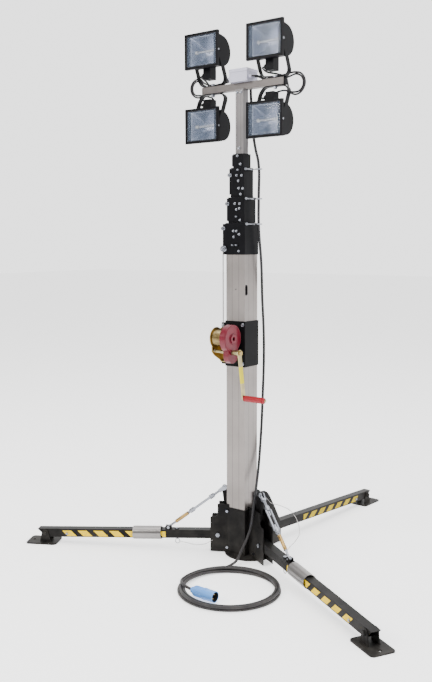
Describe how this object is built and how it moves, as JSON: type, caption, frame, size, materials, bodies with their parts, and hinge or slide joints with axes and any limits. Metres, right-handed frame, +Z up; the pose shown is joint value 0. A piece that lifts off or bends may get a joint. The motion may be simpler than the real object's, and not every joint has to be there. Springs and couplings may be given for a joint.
{
  "type": "telescopic floodlight tower",
  "caption": "Portable tower: nested square mast with hand winch on a folding three-legged hub, crossbar of floodlights and coiled supply cable.",
  "frame": {"origin": "where the mast's axis meets the ground, in the middle of the mast's foot", "axes": "+Z up along the mast; the lamps and the winch face -Y; +X along the crossbar, towards the crank"},
  "size_m": [1.9305, 1.7049, 2.351],
  "materials": {
    "aluminium": "brushed, a little dull",
    "black_steel": "satin powder coat",
    "leg_paint": "satin powder coat with yellow hazard stripes",
    "bolt_steel": "bright zinc",
    "yellow_zinc": "yellow passivated zinc",
    "red_plastic": "red moulded plastic",
    "red_grip": "red moulded plastic",
    "crank_steel": "zinc plate with a yellow sleeve",
    "rope": "steel wire rope",
    "bar_aluminium": "mill finish",
    "box_grey": "pale grey moulded box",
    "lamp_black": "black enamel",
    "lamp_glass": "clear toughened",
    "sleeve_steel": "satin stainless",
    "strut_zinc": "bright zinc with a yellow lock tube",
    "cable_black": "black rubber",
    "plug_blue": "light blue moulded",
    "lanyard_wire": "thin steel wire"
  },
  "bodies": {
    "base": {"mast_tube": "aluminium", "hub": "black_steel", "hub_bolts": "bolt_steel", "winch_plate": "black_steel", "winch_frame": "yellow_zinc", "winch_cover": "red_plastic", "lift_rope": "rope", "collar_1": "black_steel", "guide_ring_1": "bolt_steel", "lanyard_1": "lanyard_wire", "lanyard_2": "lanyard_wire", "supply_cable": "cable_black", "cable_coil": "cable_black", "plug": "plug_blue"},
    "drum": {"winch_drum": "yellow_zinc"},
    "crank": {"crank_arm": "crank_steel"},
    "grip": {"crank_grip": "red_grip"},
    "stage_2": {"stage_2": "aluminium", "collar_2": "black_steel", "guide_ring_2": "bolt_steel"},
    "stage_3": {"stage_3": "aluminium", "collar_3": "black_steel", "guide_ring_3": "bolt_steel"},
    "stage_4": {"stage_4": "aluminium", "collar_4": "black_steel"},
    "stage_5": {"stage_5": "aluminium", "crossbar": "bar_aluminium", "junction_box": "box_grey", "stirrup_1": "lamp_black", "stirrup_2": "lamp_black", "stirrup_3": "lamp_black", "stirrup_4": "lamp_black", "lamp_leads": "cable_black", "cable_drop": "cable_black"},
    "lamp_1": {"lamp_1": "lamp_black", "glass_1": "lamp_glass"},
    "lamp_2": {"lamp_2": "lamp_black", "glass_2": "lamp_glass"},
    "lamp_3": {"lamp_3": "lamp_black", "glass_3": "lamp_glass"},
    "lamp_4": {"lamp_4": "lamp_black", "glass_4": "lamp_glass"},
    "leg_1": {"leg_1": "leg_paint", "leg_pin_1": "bolt_steel"},
    "foot_1": {"foot_1": "black_steel"},
    "leg_2": {"leg_2": "leg_paint", "leg_pin_2": "bolt_steel"},
    "foot_2": {"foot_2": "black_steel"},
    "leg_3": {"leg_3": "leg_paint"},
    "foot_3": {"foot_3": "black_steel"},
    "sleeve_1": {"sleeve_1": "sleeve_steel"},
    "strut_1": {"strut_1": "strut_zinc"},
    "buckle_1": {"buckle_1": "strut_zinc"},
    "sleeve_2": {"sleeve_2": "sleeve_steel"},
    "strut_2": {"strut_2": "strut_zinc"},
    "buckle_2": {"buckle_2": "strut_zinc"}
  },
  "joints": [
    {"name": "mast_raise", "type": "slide", "parent": "base", "child": "stage_5", "axis": [0, 0, 1], "range_m": [0, 4.2]},
    {"name": "stage_4_slide", "type": "slide", "parent": "base", "child": "stage_4", "axis": [0, 0, 1], "range_m": [0, 3.15]},
    {"name": "stage_3_slide", "type": "slide", "parent": "base", "child": "stage_3", "axis": [0, 0, 1], "range_m": [0, 2.1]},
    {"name": "stage_2_slide", "type": "slide", "parent": "base", "child": "stage_2", "axis": [0, 0, 1], "range_m": [0, 1.05]},
    {"name": "drum_turn", "type": "hinge", "parent": "base", "child": "drum", "pos_m": [-0.03, -0.116, 1.012], "axis": [1, 0, 0], "range_deg": [0, 1515]},
    {"name": "crank_turn", "type": "hinge", "parent": "base", "child": "crank", "pos_m": [0.07, -0.121, 0.952], "axis": [1, 0, 0], "range_deg": [-6060, 0]},
    {"name": "grip_turn", "type": "hinge", "parent": "crank", "child": "grip", "pos_m": [0.12, -0.08846, 0.74656], "axis": [1, 0, 0], "continuous": true},
    {"name": "lamp_1_tilt", "type": "hinge", "parent": "stage_5", "child": "lamp_1", "pos_m": [-0.166, -0.042, 2.275], "axis": [1, 0, 0], "range_deg": [-80, 25]},
    {"name": "lamp_2_tilt", "type": "hinge", "parent": "stage_5", "child": "lamp_2", "pos_m": [0.166, -0.042, 2.275], "axis": [1, 0, 0], "range_deg": [-80, 25]},
    {"name": "lamp_3_tilt", "type": "hinge", "parent": "stage_5", "child": "lamp_3", "pos_m": [-0.166, -0.042, 1.951], "axis": [1, 0, 0], "range_deg": [-25, 80]},
    {"name": "lamp_4_tilt", "type": "hinge", "parent": "stage_5", "child": "lamp_4", "pos_m": [0.166, -0.042, 1.951], "axis": [1, 0, 0], "range_deg": [-25, 80]},
    {"name": "leg_1_fold", "type": "hinge", "parent": "base", "child": "leg_1", "pos_m": [-0.09528, -0.05334, 0.084], "axis": [-0.4617, 0.887, 0], "range_deg": [0, 80]},
    {"name": "leg_2_fold", "type": "hinge", "parent": "base", "child": "leg_2", "pos_m": [0.16417, -0.059, 0.084], "axis": [-0.5, -0.866, 0], "range_deg": [0, 80]},
    {"name": "leg_3_fold", "type": "hinge", "parent": "base", "child": "leg_3", "pos_m": [0.0489, 0.16244, 0.084], "axis": [0.9962, -0.0872, 0], "range_deg": [0, 80]},
    {"name": "foot_1_tilt", "type": "hinge", "parent": "leg_1", "child": "foot_1", "pos_m": [-0.84214, -0.44213, 0.048], "axis": [-0.4617, 0.887, 0], "range_deg": [-10, 25]},
    {"name": "foot_2_tilt", "type": "hinge", "parent": "leg_2", "child": "foot_2", "pos_m": [0.89336, -0.48, 0.048], "axis": [-0.5, -0.866, 0], "range_deg": [-10, 25]},
    {"name": "foot_3_tilt", "type": "hinge", "parent": "leg_3", "child": "foot_3", "pos_m": [0.12228, 1.00123, 0.048], "axis": [0.9962, -0.0872, 0], "range_deg": [-10, 25]},
    {"name": "sleeve_1_slide", "type": "slide", "parent": "leg_1", "child": "sleeve_1", "axis": [-0.8862, -0.4613, -0.0427], "range_m": [0, 0.38]},
    {"name": "sleeve_2_slide", "type": "slide", "parent": "leg_2", "child": "sleeve_2", "axis": [0.8652, -0.4995, -0.0427], "range_m": [0, 0.38]},
    {"name": "strut_1_swing", "type": "hinge", "parent": "base", "child": "strut_1", "pos_m": [-0.07044, -0.04041, 0.305], "axis": [-0.4617, 0.887, 0], "range_deg": [0, 120]},
    {"name": "strut_2_swing", "type": "hinge", "parent": "base", "child": "strut_2", "pos_m": [0.13992, -0.045, 0.305], "axis": [-0.5, -0.866, 0], "range_deg": [0, 120]},
    {"name": "buckle_1_turn", "type": "hinge", "parent": "strut_1", "child": "buckle_1", "pos_m": [-0.14106, -0.07717, 0.24449], "axis": [-0.7062, -0.3676, -0.6051], "continuous": true},
    {"name": "buckle_2_turn", "type": "hinge", "parent": "strut_2", "child": "buckle_2", "pos_m": [0.20887, -0.08481, 0.24449], "axis": [0.6895, -0.3981, -0.6051], "continuous": true}
  ],
  "couplings": [
    {"joint": "stage_4_slide", "follows": "mast_raise", "ratio": 0.75},
    {"joint": "stage_3_slide", "follows": "mast_raise", "ratio": 0.5},
    {"joint": "stage_2_slide", "follows": "mast_raise", "ratio": 0.25},
    {"joint": "drum_turn", "follows": "mast_raise", "rad_per_m": 6.25},
    {"joint": "crank_turn", "follows": "mast_raise", "rad_per_m": -25},
    {"joint": "strut_1_swing", "follows": "leg_1_fold", "ratio": 1.5},
    {"joint": "strut_2_swing", "follows": "leg_2_fold", "ratio": 1.5}
  ]
}
